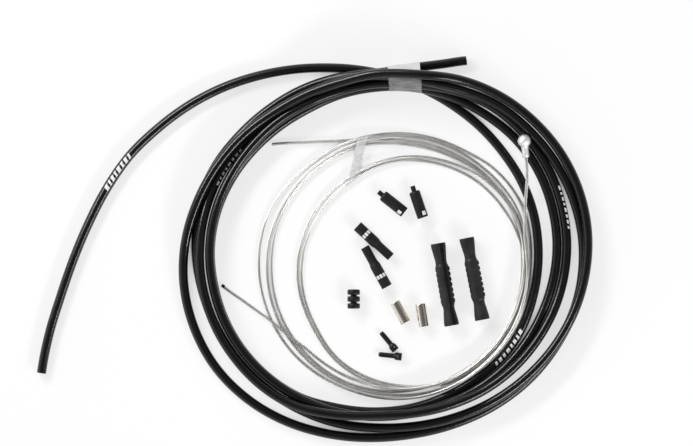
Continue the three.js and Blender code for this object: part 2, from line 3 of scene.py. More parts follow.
import bmesh
import bpy
import numpy as np
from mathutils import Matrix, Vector


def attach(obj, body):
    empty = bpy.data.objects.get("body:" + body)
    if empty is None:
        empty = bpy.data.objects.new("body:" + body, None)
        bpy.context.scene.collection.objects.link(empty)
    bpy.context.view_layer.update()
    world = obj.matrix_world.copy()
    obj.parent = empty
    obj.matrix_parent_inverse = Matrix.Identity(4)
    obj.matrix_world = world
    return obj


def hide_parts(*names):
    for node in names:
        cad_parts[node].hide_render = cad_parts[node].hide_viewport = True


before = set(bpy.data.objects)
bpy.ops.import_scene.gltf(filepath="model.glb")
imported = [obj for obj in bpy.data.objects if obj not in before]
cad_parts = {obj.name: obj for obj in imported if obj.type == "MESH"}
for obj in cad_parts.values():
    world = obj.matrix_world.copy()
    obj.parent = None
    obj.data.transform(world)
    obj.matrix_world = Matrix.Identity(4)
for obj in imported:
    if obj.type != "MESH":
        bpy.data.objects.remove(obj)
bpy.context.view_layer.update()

# Bicycle brake cable set, seen from straight above: a taped coil of housing, two
# inner wires coiled in it, and the loose end fittings. Metres, +Z up.

MM = 0.001
SHIFT = (0.000245, 0.000085)
COIL_CENTRE = (0.0326 + SHIFT[0], 0.0 + SHIFT[1])
RING_CENTRE = (0.0445 + SHIFT[0], -0.0100 + SHIFT[1])
HOUSING_RADIUS = 0.0025
WIRE_RADIUS = 0.0008

# Distance kept between neighbouring strands, how sharply a strand bends down, and the
# spacing of the rings along it.
HOUSING_PITCH = 0.00536
WIRE_PITCH = 0.00198
HOUSING_SAG = 0.0000068
WIRE_SAG = 0.0000052
HOUSING_SPACING = 0.0025
WIRE_SPACING = 0.0012

# Heights gained over the films and over the housing near the head.
COIL_OVER_FLOOR_FILM = 0.00082
STRAND_OVER_TAPE = 0.00084
WIRES_OVER_FILM = 0.00072
WIRE_OVER_HOUSING = 0.0056
HOUSING_REACHED_AT = 0.0795
HEAD_SLOPE = 0.19052

# Degrees from one support of a strand to the next
HOUSING_STEP = 7.5
HOUSING_STEP_AT_TAPE = 3.75
WIRE_STEP = 9
WIRE_STEP_AT_BAND = 4.5
WIRE_STEP_AT_END = 3

# Films: width, distance kept from the strands, and thickness
TAPE_WIDTH = 0.0174
TAPE_GAP = 0.00012
TAPE_THICKNESS = 0.00016
TIE_WIDTH = 0.005
TIE_GAP = 0.0001
TIE_THICKNESS = 0.00012
# Line in Y beyond which the tape is painted whiter, as a highlight.
TAPE_GLARE_FROM = 0.0955

# Layers of the housing at its cut ends
WRAP_RADIUS = 0.0020
WRAP_INNER_RADIUS = 0.00146
LINER_RADIUS = 0.00142
LINER_BORE_RADIUS = 0.00102
CUT_DEPTH = 0.0024

LAY_LENGTH = 0.015
HEAD_LENGTH = 0.0126
BALL_RADIUS = 0.0035
NECK_RADIUS = 0.0019
INK_PROUD = 0.00002

# Outer radii of the loose fittings, in millimetres, and where each lies, as two ends in
# the photograph's plane.
NOSED_RADIUS = 3.0
CONNECTOR_RADIUS = 2.95
METAL_RADIUS = 2.95
RUBBER_RING_RADIUS = 3.4
SLEEVE_HEIGHT = 4.1
CAP_HEAD_RADIUS = 2.1
CAP_TIP_HEIGHT = 1.43
CAP_OPEN_HEIGHT = 2.34
NOSED_PLACES = (((34.2, 30.9), (48.6, 19.5)), ((52.6, 34.0), (58.3, 17.0)))
CONNECTOR_PLACES = (((22.9, 12.4), (41.1, -4.4)), ((38.9, -20.4), (27.0, 0.8)))
METAL_PLACES = (((43.1, -28.6), (49.1, -39.9)), ((56.8, -29.5), (58.8, -41.7)))
SLEEVE_PLACES = (((66.3, 3.3), (73.9, -41.5)), ((81.8, 6.0), (90.4, -38.2)))
CAP_PLACES = (((35.6, -45.0), (43.4, -54.4)), ((34.3, -56.9), (47.3, -58.3)))

# Camera

IMAGE_WIDTH = 693
IMAGE_HEIGHT = 446
PIXEL = 0.00054
CAMERA_HEIGHT = 3.0

camera_data = bpy.data.cameras.new("camera")
camera_data.sensor_width = 36.0
camera_data.lens = 36.0 * (CAMERA_HEIGHT - 0.003) / (IMAGE_WIDTH * PIXEL)
camera_data.clip_start = 0.05
camera = bpy.data.objects.new("camera", camera_data)
camera.location = (
    (IMAGE_WIDTH / 2 - 315) * PIXEL + SHIFT[0],
    (249 - IMAGE_HEIGHT / 2) * PIXEL + SHIFT[1],
    CAMERA_HEIGHT,
)
bpy.context.scene.collection.objects.link(camera)
bpy.context.scene.camera = camera

# Cord routes: degrees clockwise from the top of the coil, radius from its centre. Cord
# levels: from each angle on, the layer in which the strand lies, higher over lower.

housing_route = [
    (-110.4, 0.1924), (-104, 0.181), (-98.5, 0.1718), (-92, 0.1632), (-85, 0.1556), (-77.5, 0.1489),
    (-69, 0.1418), (-61.5, 0.1348), (-52, 0.1268), (-43.5, 0.12), (-34.5, 0.1132), (-25.5, 0.1072),
    (-16, 0.1018), (-8, 0.0982), (0, 0.0952), (9, 0.0923), (16, 0.0904), (28, 0.0882),
    (40, 0.087), (53, 0.0865), (65, 0.087), (78, 0.0876), (90, 0.088), (105, 0.0888),
    (118, 0.0898), (130, 0.09), (143, 0.0889), (155, 0.0883), (168, 0.0881), (180, 0.0879),
    (195, 0.0884), (208, 0.09), (233, 0.0902), (245, 0.0899), (258, 0.0894), (270, 0.0891),
    (285, 0.0878), (298, 0.0862), (310, 0.0848), (323, 0.084), (335, 0.084), (348, 0.0856),
    (360, 0.0872), (369, 0.0888),
    (376, 0.09), (388, 0.092), (400, 0.094), (413, 0.0964), (425, 0.0976), (438, 0.098),
    (450, 0.098), (465, 0.097), (478, 0.096), (490, 0.095), (503, 0.0934), (515, 0.0918),
    (528, 0.0907), (540, 0.0903), (555, 0.0903), (568, 0.0903), (593, 0.0903), (605, 0.0902),
    (618, 0.0898), (630, 0.0894), (645, 0.0884), (658, 0.0874), (670, 0.0868), (683, 0.0866),
    (695, 0.0865), (705, 0.087), (720, 0.089), (729, 0.09),
    (736, 0.0918), (748, 0.0958), (760, 0.0995), (773, 0.1018), (785, 0.103), (798, 0.1034),
    (810, 0.1034), (825, 0.1023), (838, 0.1004), (850, 0.0984), (863, 0.0958), (875, 0.093),
    (888, 0.0906), (900, 0.0896), (915, 0.092), (928, 0.095), (940, 0.0959), (953, 0.0959),
    (965, 0.0958), (978, 0.0954), (990, 0.0948), (1005, 0.0938), (1018, 0.0926), (1030, 0.0908),
    (1043, 0.0895), (1055, 0.0902), (1065, 0.0925), (1080, 0.0933), (1089, 0.0934),
    (1096, 0.0939), (1108, 0.0972), (1120, 0.1016), (1133, 0.105), (1145, 0.108), (1158, 0.1106),
    (1170, 0.1122), (1185, 0.1124), (1198, 0.1108), (1210, 0.1089), (1223, 0.1062), (1235, 0.1038),
    (1248, 0.1021), (1260, 0.1019), (1275, 0.1031), (1288, 0.1049), (1300, 0.1064), (1313, 0.1073),
    (1325, 0.1068), (1338, 0.1054), (1350, 0.1031), (1365, 0.0993), (1378, 0.0964), (1390, 0.0941),
    (1403, 0.0918), (1415, 0.0912), (1428, 0.0917), (1440, 0.094), (1449, 0.0954),
    (1456, 0.0972), (1468, 0.1022), (1480, 0.1065), (1493, 0.1102), (1505, 0.113), (1518, 0.1146),
    (1530, 0.1146), (1545, 0.1128), (1558, 0.11), (1570, 0.1069), (1583, 0.1035), (1595, 0.1004),
    (1608, 0.0978), (1620, 0.0965), (1635, 0.0962), (1648, 0.0958), (1660, 0.0957), (1673, 0.0957),
    (1685, 0.0958), (1698, 0.0962), (1710, 0.097), (1725, 0.0981), (1738, 0.0972), (1750, 0.0957),
    (1763, 0.0949), (1775, 0.0948), (1788, 0.0946), (1800, 0.0948), (1807.7, 0.0976), (1813.9, 0.1013),
    (1820.2, 0.1065), (1825.8, 0.113),
]

housing_levels = [
    (-120, 0), (30, 1), (376, 2), (593, 4), (705, 2.5), (736, 3), (1096, 4), (1300, 5), (1627, 0.5),
]

long_wire_route = [
    (49.6, 0.091), (54.3, 0.0861), (61, 0.0791), (66.7, 0.075), (75.3, 0.071), (84, 0.07),
    (90, 0.0701), (120, 0.0703), (140, 0.0699), (160, 0.0705), (180, 0.0709), (200, 0.0709),
    (218, 0.0721), (233, 0.0731), (251, 0.074), (270, 0.0748), (288, 0.0753), (307, 0.0744),
    (321, 0.0732), (345, 0.0726), (360, 0.0725),
    (390, 0.0728), (405, 0.0747), (424, 0.0752), (436, 0.0736), (450, 0.0718), (465, 0.0711),
    (480, 0.0707), (500, 0.0702), (520, 0.0698), (540, 0.0691), (560, 0.0692), (593, 0.0699), (611, 0.0704),
    (630, 0.0705), (648, 0.0707), (667, 0.0707), (681, 0.0707), (705, 0.0706), (720, 0.0706),
    (750, 0.0708), (765, 0.0712), (784, 0.0718), (796, 0.0712), (810, 0.0694), (840, 0.0679),
    (860, 0.0673), (880, 0.0666), (900, 0.065), (915, 0.0631), (930, 0.0608), (938, 0.0592),
    (953, 0.0563), (971, 0.0549), (990, 0.054), (1008, 0.0535), (1027, 0.0541), (1041, 0.0546),
    (1053, 0.0553), (1065, 0.0568), (1080, 0.0593),
    (1110, 0.0639), (1125, 0.0667), (1135, 0.0682), (1144, 0.0692), (1156, 0.0692), (1170, 0.0682),
    (1200, 0.067), (1220, 0.0664), (1240, 0.066), (1260, 0.0655), (1280, 0.065), (1290, 0.065),
    (1302, 0.0654), (1311, 0.0666), (1327, 0.0742), (1337, 0.0842), (1344.2, 0.0952),
]

long_wire_levels = [(40, 6), (345, 3), (720, 4), (1080, 5), (1290, 7)]

short_wire_route = [
    (-45.6, 0.095), (-38.1, 0.0857), (-30.1, 0.0786), (-22.7, 0.0743), (-12, 0.0709), (0, 0.0687),
    (15, 0.0684), (30, 0.0686), (45, 0.069), (64, 0.0689), (80, 0.0678), (90, 0.0673),
    (120, 0.0668), (140, 0.0663), (160, 0.0662), (180, 0.0671), (200, 0.0679), (233, 0.068),
    (251, 0.0681), (270, 0.0681), (288, 0.0686), (307, 0.0687), (321, 0.0688), (345, 0.0684),
    (360, 0.0668),
    (375, 0.0664), (390, 0.0668), (405, 0.0682), (424, 0.0702), (440, 0.0701), (450, 0.0696),
    (480, 0.0688), (500, 0.0682), (520, 0.0666), (540, 0.0637), (555, 0.0616), (570, 0.0594),
    (578, 0.0578), (593, 0.0546), (611, 0.0529), (630, 0.0518), (648, 0.0512), (660, 0.051),
    (667, 0.0513), (681, 0.0524), (693, 0.0534), (705, 0.0552), (720, 0.0576),
    (735, 0.0594), (750, 0.0614), (765, 0.0636), (784, 0.0658), (796, 0.0674), (810, 0.0688),
    (840, 0.0696), (860, 0.069), (880, 0.068),
]

short_wire_levels = [(-50, 1), (345, 2), (705, 2.5)]


# A table's value at an angle, on a smooth curve through its rows.
def value_at(table, angle):
    i = 0
    while i < len(table) - 2 and angle > table[i + 1][0]:
        i += 1
    a = table[max(i - 1, 0)]
    b = table[i]
    c = table[i + 1]
    d = table[min(i + 2, len(table) - 1)]
    span = c[0] - b[0]
    t = (angle - b[0]) / span
    slope_b = (c[1] - a[1]) / (c[0] - a[0]) if i > 0 else (c[1] - b[1]) / span
    slope_c = (d[1] - b[1]) / (d[0] - b[0]) if i + 2 < len(table) else (c[1] - b[1]) / span
    t2 = t * t
    t3 = t2 * t
    return (
        (2 * t3 - 3 * t2 + 1) * b[1]
        + (t3 - 2 * t2 + t) * span * slope_b
        + (3 * t2 - 2 * t3) * c[1]
        + (t3 - t2) * span * slope_c
    )


def level_at(levels, angle):
    level = levels[0][1]
    for start, value in levels:
        if angle >= start:
            level = value
    return level


# 0 outside start to end, 1 from full to full_end, and eased between.
def ease_bump(angle, start, full, full_end, end):
    if angle <= start or angle >= end:
        return 0.0
    if angle < full:
        t = (angle - start) / (full - start)
    elif angle > full_end:
        t = (end - angle) / (end - full_end)
    else:
        t = 1.0
    return t * t * (3 - 2 * t)


# The angles at which a strand's height is worked out.
def stations_of(route, step_at):
    first = route[0][0]
    last = route[-1][0]
    angles = [first]
    following = math.ceil(first / step_at(first) + 0.4) * step_at(first)
    while following < last - step_at(following) * 0.4:
        angles.append(following)
        following += step_at(following)
    angles.append(last)
    return angles


# The angle within its turn, from -90 to 270 degrees.
def local_angle(angle):
    return ((angle + 90) % 360) - 90


# Each strand rests on the floor or on the strands below it, and bends down to the
# next support no faster than its stiffness allows.
def settle(strands, pitch, radius, sag, lift_of, extra_of):
    points = []
    for strand in strands:
        count = len(strand["angles"])
        for k, angle in enumerate(strand["angles"]):
            r = value_at(strand["route"], angle)
            points.append(
                {
                    "strand": strand["name"],
                    "angle": angle,
                    "radius": r,
                    "level": level_at(strand["levels"], angle),
                    "floor": radius + lift_of(angle, r),
                    "before": len(points) - 1 if k > 0 else -1,
                    "after": len(points) + 1 if k < count - 1 else -1,
                    "below": [],
                    "z": 0.0,
                }
            )
    for p in points:
        p["z"] = p["floor"]
        reach = pitch + extra_of(p["angle"])
        for q in points:
            if q["level"] >= p["level"] or q["after"] < 0:
                continue
            after = points[q["after"]]
            turns = math.ceil((q["angle"] - p["angle"]) / 360 - 1e-6)
            at = (p["angle"] + turns * 360 - q["angle"]) / (after["angle"] - q["angle"])
            if at >= 0.999:
                continue
            side = abs(p["radius"] - q["radius"] - (after["radius"] - q["radius"]) * at)
            itself = q["strand"] == p["strand"] and turns == 0
            apart = at > 0.02 and after["level"] >= p["level"]
            if side < reach and not itself and not apart:
                p["below"].append((q, after, at, math.sqrt(reach * reach - side * side)))
    for _ in range(400):
        for p in points:
            z = p["floor"]
            for q, after, at, rise in p["below"]:
                z = max(z, q["z"] + (after["z"] - q["z"]) * at + rise)
            if p["before"] >= 0 and p["after"] >= 0:
                a = points[p["before"]]
                b = points[p["after"]]
                wa = b["angle"] - p["angle"]
                wb = p["angle"] - a["angle"]
                z = max(z, (a["z"] * wa + b["z"] * wb) / (wa + wb) - sag * wa * wb)
            p["z"] = z
    for strand in strands:
        own = [p for p in points if p["strand"] == strand["name"]]
        strand["heights"] = [(p["angle"], p["z"]) for p in own]


def place(strand, angle):
    r = value_at(strand["route"], angle)
    turn = math.radians(angle)
    return (
        strand["centre"][0] + r * math.sin(turn),
        strand["centre"][1] + r * math.cos(turn),
        value_at(strand["heights"], angle),
    )


# Even steps along a strand, with the directions of its first and last solid stretch.
def run_of(strand, spacing):
    first = strand["angles"][0]
    last = strand["angles"][-1]
    fine = np.linspace(first, last, int((last - first) / 0.5) + 1)
    dense = np.array([place(strand, a) for a in fine])
    walked = np.concatenate([[0.0], np.cumsum(np.linalg.norm(np.diff(dense, axis=0), axis=1))])
    count = int(round(walked[-1] / spacing)) + 1
    even = np.linspace(0.0, walked[-1], count)
    centres = np.stack([np.interp(even, walked, dense[:, k]) for k in range(3)], axis=1)
    tangents = np.gradient(centres, axis=0)
    for end, step in ((0, 1), (-1, -1)):
        a = np.array(place(strand, strand["angles"][end]))
        b = np.array(place(strand, strand["angles"][end + step]))
        tangents[end] = (b - a) * step
    tangents /= np.linalg.norm(tangents, axis=1)[:, None]
    strand["centres"] = centres
    strand["tangents"] = tangents
    strand["walked"] = even
    strand["by_angle"] = (fine, walked)


def wire_step(angle):
    return WIRE_STEP_AT_BAND if -45.1 < local_angle(angle) < -0.1 else WIRE_STEP


housing = {
    "name": "housing",
    "route": housing_route,
    "levels": housing_levels,
    "centre": COIL_CENTRE,
    "angles": stations_of(
        housing_route,
        lambda a: HOUSING_STEP_AT_TAPE if a < -30 or -30.1 < local_angle(a) < 37 else HOUSING_STEP,
    ),
}
long_wire = {
    "name": "long",
    "route": long_wire_route,
    "levels": long_wire_levels,
    "centre": RING_CENTRE,
    "angles": stations_of(
        long_wire_route,
        lambda a: WIRE_STEP_AT_END if a < 81 or a > 1304.9 else wire_step(a),
    ),
}
short_wire = {
    "name": "short",
    "route": short_wire_route,
    "levels": short_wire_levels,
    "centre": RING_CENTRE,
    "angles": stations_of(short_wire_route, wire_step),
}


def housing_lift(angle, radius):
    if radius < 0.118:
        return COIL_OVER_FLOOR_FILM * ease_bump(local_angle(angle), -26, 0, 16, 34)
    return 0.0


def tape_extra(angle):
    if 1400 < angle < 1500:
        return STRAND_OVER_TAPE * ease_bump(local_angle(angle), -10, 2, 16, 30)
    return 0.0


def wire_lift(angle, radius):
    lift = WIRES_OVER_FILM * ease_bump(local_angle(angle), -60, -38, -2, 14)
    if 40 < angle < 80 and radius > 0.071:
        rise = WIRE_OVER_HOUSING * ease_bump(radius, 0.071, HOUSING_REACHED_AT, 0.2, 0.3)
        return lift + rise + HEAD_SLOPE * max(radius - HOUSING_REACHED_AT, 0.0)
    return lift


settle([housing], HOUSING_PITCH, HOUSING_RADIUS, HOUSING_SAG, housing_lift, tape_extra)
settle([long_wire, short_wire], WIRE_PITCH, WIRE_RADIUS, WIRE_SAG, wire_lift, lambda a: 0.0)
run_of(housing, HOUSING_SPACING)
run_of(long_wire, WIRE_SPACING)
run_of(short_wire, WIRE_SPACING)


# Mesh helpers

def mesh_object(name, verts, faces, sharp=40):
    mesh = bpy.data.meshes.new(name)
    mesh.from_pydata([tuple(v) for v in verts], [], faces)
    mesh.update()
    mesh.polygons.foreach_set("use_smooth", [True] * len(mesh.polygons))
    if sharp:
        mesh.set_sharp_from_angle(angle=math.radians(sharp))
    obj = bpy.data.objects.new(name, mesh)
    bpy.context.scene.collection.objects.link(obj)
    return obj


def rings_of(centres, tangents, radii, angles):
    up = np.array([0.0, 0.0, 1.0])
    side = np.cross(tangents, up)
    side /= np.linalg.norm(side, axis=1)[:, None]
    top = np.cross(side, tangents)
    cos = np.cos(angles)[..., None]
    sin = np.sin(angles)[..., None]
    return centres[:, None, :] + radii[..., None] * (side[:, None, :] * cos + top[:, None, :] * sin)


def grid_faces(rows, columns, closed_rows=False):
    faces = []
    for i in range(rows if closed_rows else rows - 1):
        k = (i + 1) % rows
        for j in range(columns):
            n = (j + 1) % columns
            faces.append((i * columns + j, k * columns + j, k * columns + n, i * columns + n))
    return faces


# The two flat faces that close a tube at its first and last ring.
def end_faces(count, columns):
    last = range(count - columns, count)
    return [tuple(range(columns)), tuple(reversed(last))]


def set_uv(obj, lengthwise, columns):
    layer = obj.data.uv_layers.new(name="along")
    loops = np.zeros(len(obj.data.loops), dtype=np.int32)
    obj.data.loops.foreach_get("vertex_index", loops)
    u = np.asarray(lengthwise)[np.minimum(loops // columns, len(lengthwise) - 1)]
    v = (loops % columns) / columns
    layer.data.foreach_set("uv", np.stack([u, v], axis=1).ravel())


# Axes of a piece that lies from one point towards another: across, along, upward.
def laid(start, towards):
    start = np.array(start, dtype=float)
    along = np.array(towards, dtype=float) - start
    along /= np.linalg.norm(along)
    side = np.cross(along, (0.0, 0.0, 1.0))
    side /= np.linalg.norm(side)
    return start, side, along, np.cross(side, along)


# Merges doubled points if asked, turns all faces outward and shades all but sharp edges.
def outward(obj, sharp, merge=0.0):
    made = bmesh.new()
    made.from_mesh(obj.data)
    if merge:
        bmesh.ops.remove_doubles(made, verts=made.verts, dist=merge)
    bmesh.ops.recalc_face_normals(made, faces=made.faces)
    made.to_mesh(obj.data)
    made.free()
    obj.data.polygons.foreach_set("use_smooth", [True] * len(obj.data.polygons))
    obj.data.set_sharp_from_angle(angle=math.radians(sharp))
    return obj


# A body turned round the line from start. Each row is (radius, along), and the radius may
# differ from column to column.
def turned(name, rows, start, towards, columns=64, sharp=35, closed=True):
    origin, side, along, top = laid(start, towards)
    theta = np.linspace(0, 2 * math.pi, columns, endpoint=False)
    ring = side[None, :] * np.cos(theta)[:, None] + top[None, :] * np.sin(theta)[:, None]
    verts = []
    for radius, y in rows:
        radius = np.broadcast_to(np.asarray(radius, dtype=float), (columns,))
        verts.append(origin + along * y + ring * radius[:, None])
    verts = np.concatenate(verts)
    obj = mesh_object(name, verts, grid_faces(len(rows), columns, closed), 0)
    return outward(obj, sharp, 0.0000005)


# A profile with each corner rounded; an entry is (radius, along) or (radius, along, fillet).
def rounded(profile, fillet, closed=True, steps=4):
    out = []
    count = len(profile)
    for i, point in enumerate(profile):
        corner = np.array(point[:2], dtype=float)
        reach = point[2] if len(point) > 2 else fillet
        if reach <= 0 or (not closed and i in (0, count - 1)):
            out.append(tuple(corner))
            continue
        before = np.array(profile[i - 1][:2], dtype=float)
        after = np.array(profile[(i + 1) % count][:2], dtype=float)
        to_before = before - corner
        to_after = after - corner
        back = np.linalg.norm(to_before)
        ahead = np.linalg.norm(to_after)
        reach = min(reach, back * 0.45, ahead * 0.45)
        a = corner + to_before / back * reach
        b = corner + to_after / ahead * reach
        for k in range(steps + 1):
            t = k / steps
            out.append(tuple((1 - t) ** 2 * a + 2 * (1 - t) * t * corner + t * t * b))
    return out


def scaled(profile):
    return [tuple(value * MM for value in row) for row in profile]


def point(x, y, z):
    return (x * MM + SHIFT[0], y * MM + SHIFT[1], z * MM)


def ease(value, start, end):
    t = np.clip((value - start) / (end - start), 0.0, 1.0)
    return t * t * (3 - 2 * t)


# Materials

class Nodes:
    def __init__(self, name):
        self.material = bpy.data.materials.new(name)
        self.material.use_nodes = True
        self.tree = self.material.node_tree
        self.shader = self.tree.nodes["Principled BSDF"]
        self.coords = self.tree.nodes.new("ShaderNodeTexCoord")

    def set(self, **values):
        for key, value in values.items():
            socket = self.shader.inputs[key.replace("_", " ")]
            if isinstance(value, tuple) and len(value) == 3:
                value = (*value, 1.0)
            socket.default_value = value

    def noise(self, scale, detail, stretch=None, uv=False):
        node = self.tree.nodes.new("ShaderNodeTexNoise")
        node.inputs["Scale"].default_value = scale
        node.inputs["Detail"].default_value = detail
        node.inputs["Roughness"].default_value = 0.55
        source = self.coords.outputs["UV" if uv else "Object"]
        if stretch:
            mapping = self.tree.nodes.new("ShaderNodeMapping")
            mapping.inputs["Scale"].default_value = stretch
            self.tree.links.new(source, mapping.inputs["Vector"])
            source = mapping.outputs["Vector"]
        self.tree.links.new(source, node.inputs["Vector"])
        return node.outputs["Fac"]

    def spread(self, value, low, high, from_low=0.3, from_high=0.7):
        node = self.tree.nodes.new("ShaderNodeMapRange")
        node.inputs["From Min"].default_value = from_low
        node.inputs["From Max"].default_value = from_high
        node.inputs["To Min"].default_value = low
        node.inputs["To Max"].default_value = high
        self.tree.links.new(value, node.inputs["Value"])
        return node.outputs["Result"]

    def ramp(self, value, stops):
        node = self.tree.nodes.new("ShaderNodeValToRGB")
        elements = node.color_ramp.elements
        while len(elements) < len(stops):
            elements.new(0.5)
        for element, (at, colour) in zip(elements, stops):
            element.position = at
            element.color = (*colour, 1.0)
        self.tree.links.new(value, node.inputs["Fac"])
        return node.outputs["Color"]

    def joined(self, operation, first, second):
        node = self.tree.nodes.new("ShaderNodeMath")
        node.operation = operation
        self.tree.links.new(first, node.inputs[0])
        self.tree.links.new(second, node.inputs[1])
        return node

    def link(self, output, socket):
        self.tree.links.new(output, self.shader.inputs[socket])

    def bump(self, layers):
        last = None
        for value, strength, distance in layers:
            node = self.tree.nodes.new("ShaderNodeBump")
            node.inputs["Strength"].default_value = strength
            node.inputs["Distance"].default_value = distance
            self.tree.links.new(value, node.inputs["Height"])
            if last:
                self.tree.links.new(last, node.inputs["Normal"])
            last = node.outputs["Normal"]
        self.link(last, "Normal")


def make_jacket():
    m = Nodes("housing_jacket")
    m.set(IOR=1.5, Specular_IOR_Level=0.5)
    black = [(0.3, (0.003, 0.003, 0.0033)), (0.7, (0.006, 0.006, 0.0064))]
    m.link(m.ramp(m.noise(60, 4), black), "Base Color")
    m.link(m.spread(m.noise(260, 4), 0.16, 0.26), "Roughness")
    ripple = m.tree.nodes.new("ShaderNodeTexWave")
    ripple.wave_type = "BANDS"
    ripple.bands_direction = "X"
    ripple.inputs["Scale"].default_value = 130.0
    ripple.inputs["Distortion"].default_value = 0.6
    m.tree.links.new(m.coords.outputs["UV"], ripple.inputs["Vector"])
    m.bump(
        [
            (ripple.outputs["Fac"], 0.06, 0.0002),
            (m.noise(40, 3, stretch=(6.0, 60.0, 1.0), uv=True), 0.05, 0.0002),
            (m.noise(1800, 2), 0.08, 0.00005),
        ]
    )
    return m.material


def make_steel(name, low, high, rough_low, rough_high, grain, grain_strength):
    m = Nodes(name)
    m.set(Metallic=1.0)
    m.link(m.ramp(m.noise(90, 5), [(0.3, low), (0.7, high)]), "Base Color")
    m.link(m.spread(m.noise(500, 4), rough_low, rough_high), "Roughness")
    m.bump([(m.noise(grain, 3), grain_strength, 0.00005)])
    return m.material


# Film that is clear to milky in patches. Given glare_from, it turns whiter beyond that line in Y as a painted
# highlight.
def make_film(name, thin, milky, glare_from=None):
    m = Nodes(name)
    m.set(IOR=1.46, Specular_IOR_Level=0.6)
    m.link(m.ramp(m.noise(70, 4), [(0.3, (0.78, 0.79, 0.8)), (0.7, (0.9, 0.905, 0.91))]), "Base Color")
    m.link(m.spread(m.noise(120, 4), 0.12, 0.26), "Roughness")
    cover = m.spread(m.noise(160, 4, stretch=(1.0, 2.6, 1.0)), thin, milky)
    if glare_from is not None:
        # Past glare_from in Y the film is made more opaque and so whiter: a painted highlight.
        split = m.tree.nodes.new("ShaderNodeSeparateXYZ")
        m.tree.links.new(m.coords.outputs["Object"], split.inputs["Vector"])
        painted_glare = m.spread(split.outputs["Y"], 0.0, 0.6, glare_from, glare_from + 0.0012)
        total = m.joined("ADD", cover, painted_glare)
        total.use_clamp = True
        cover = total.outputs[0]
    m.link(cover, "Alpha")
    m.bump([(m.noise(220, 4, stretch=(1.0, 3.0, 1.0)), 0.35, 0.0003)])
    return m.material


def make_moulded(name, low, high, rough_low, rough_high, grain, strength):
    m = Nodes(name)
    m.set(IOR=1.48, Specular_IOR_Level=0.35)
    m.link(m.ramp(m.noise(150, 4), [(0.3, low), (0.7, high)]), "Base Color")
    m.link(m.spread(m.noise(400, 4), rough_low, rough_high), "Roughness")
    m.bump([(m.noise(grain, 3), strength, 0.00008), (m.noise(grain * 0.2, 2), strength * 0.5, 0.0002)])
    return m.material


def make_ink():
    m = Nodes("white_print")
    m.link(m.ramp(m.noise(900, 3), [(0.3, (0.66, 0.66, 0.66)), (0.55, (0.88, 0.88, 0.87))]), "Base Color")
    m.link(m.spread(m.noise(1500, 2), 0.4, 0.6), "Roughness")
    return m.material


jacket = make_jacket()
wire_steel = make_steel("wire_steel", (0.74, 0.73, 0.71), (0.86, 0.85, 0.83), 0.34, 0.44, 2600, 0.05)
head_metal = make_steel("head_metal", (0.88, 0.88, 0.88), (0.95, 0.95, 0.94), 0.55, 0.65, 1400, 0.12)
wrap_steel = make_steel("wrap_steel", (0.24, 0.24, 0.24), (0.36, 0.36, 0.35), 0.4, 0.5, 1400, 0.1)
nickel = make_steel("ferrule_metal", (0.84, 0.78, 0.69), (0.92, 0.87, 0.79), 0.16, 0.22, 2200, 0.02)
film = make_film("clear_film", 0.1, 0.68)
tape_film = make_film("coil_tape_film", 0.1, 0.26, TAPE_GLARE_FROM)
plastic = make_moulded(
    "fitting_plastic", (0.007, 0.007, 0.0075), (0.014, 0.014, 0.015), 0.38, 0.55, 1500, 0.12
)
rubber = make_moulded("black_rubber", (0.006,) * 3, (0.013,) * 3, 0.36, 0.5, 1800, 0.2)
sleeve_rubber = make_moulded("sleeve_rubber", (0.012,) * 3, (0.026,) * 3, 0.4, 0.55, 1800, 0.2)
# Near-black rubber for the groove faces of the first sleeve: painted shade in the groove.
groove_painted_shade = make_moulded("groove_painted_shade", (0.001,) * 3, (0.003,) * 3, 0.8, 0.95, 1800, 0.1)
cap_paint = make_moulded("cap_black", (0.006, 0.006, 0.007), (0.013, 0.013, 0.014), 0.28, 0.42, 1600, 0.08)
liner_white = make_moulded("liner_white", (0.66, 0.66, 0.65), (0.78, 0.78, 0.77), 0.4, 0.55, 1200, 0.1)
# Near-black for the disc deep in each housing bore: painted shade in the hole.
bore_painted_shade = make_moulded("bore_painted_shade", (0.01,) * 3, (0.02,) * 3, 0.7, 0.85, 1200, 0.1)
ink = make_ink()


def finish_piece(obj, material, slot, *nodes):
    obj.data.materials.append(material)
    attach(obj, "root")
    if nodes:
        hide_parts(*nodes)
    return obj


# Housing: the jacket is a hollow-ended tube; steel wrap and liner show at the cuts, and a near-black disc
# deep in the bore is painted shade.

def housing_tube():
    sides = 32
    theta = np.linspace(0, 2 * math.pi, sides, endpoint=False)
    c = housing["centres"]
    t = housing["tangents"]
    hollow = WRAP_RADIUS + 0.00002
    edge = HOUSING_RADIUS - 0.00008
    centres = [c[0] + t[0] * CUT_DEPTH, c[0], c[0]]
    tangents = [t[0], t[0], t[0]]
    radii = [hollow, hollow, edge]
    for k in range(len(c)):
        offset = t[k] * 0.0001 if k == 0 else -t[k] * 0.0001 if k == len(c) - 1 else 0
        centres.append(c[k] + offset)
        tangents.append(t[k])
        radii.append(HOUSING_RADIUS)
    centres += [c[-1], c[-1], c[-1] - t[-1] * CUT_DEPTH]
    tangents += [t[-1], t[-1], t[-1]]
    radii += [edge, hollow, hollow]
    radii = np.array(radii)[:, None] * np.ones(sides)[None, :]
    grid = rings_of(np.array(centres), np.array(tangents), radii, np.tile(theta, (len(centres), 1)))
    verts = grid.reshape(-1, 3)
    faces = grid_faces(len(centres), sides)
    faces += end_faces(len(verts), sides)
    obj = mesh_object("housing_jacket_tube", verts, faces, 30)
    walked = housing["walked"]
    lengthwise = np.concatenate([[0, 0, 0], walked, [walked[-1]] * 3])
    set_uv(obj, lengthwise, sides)
    return obj


jacket_tube = finish_piece(housing_tube(), jacket, "housing_jacket", "housing")


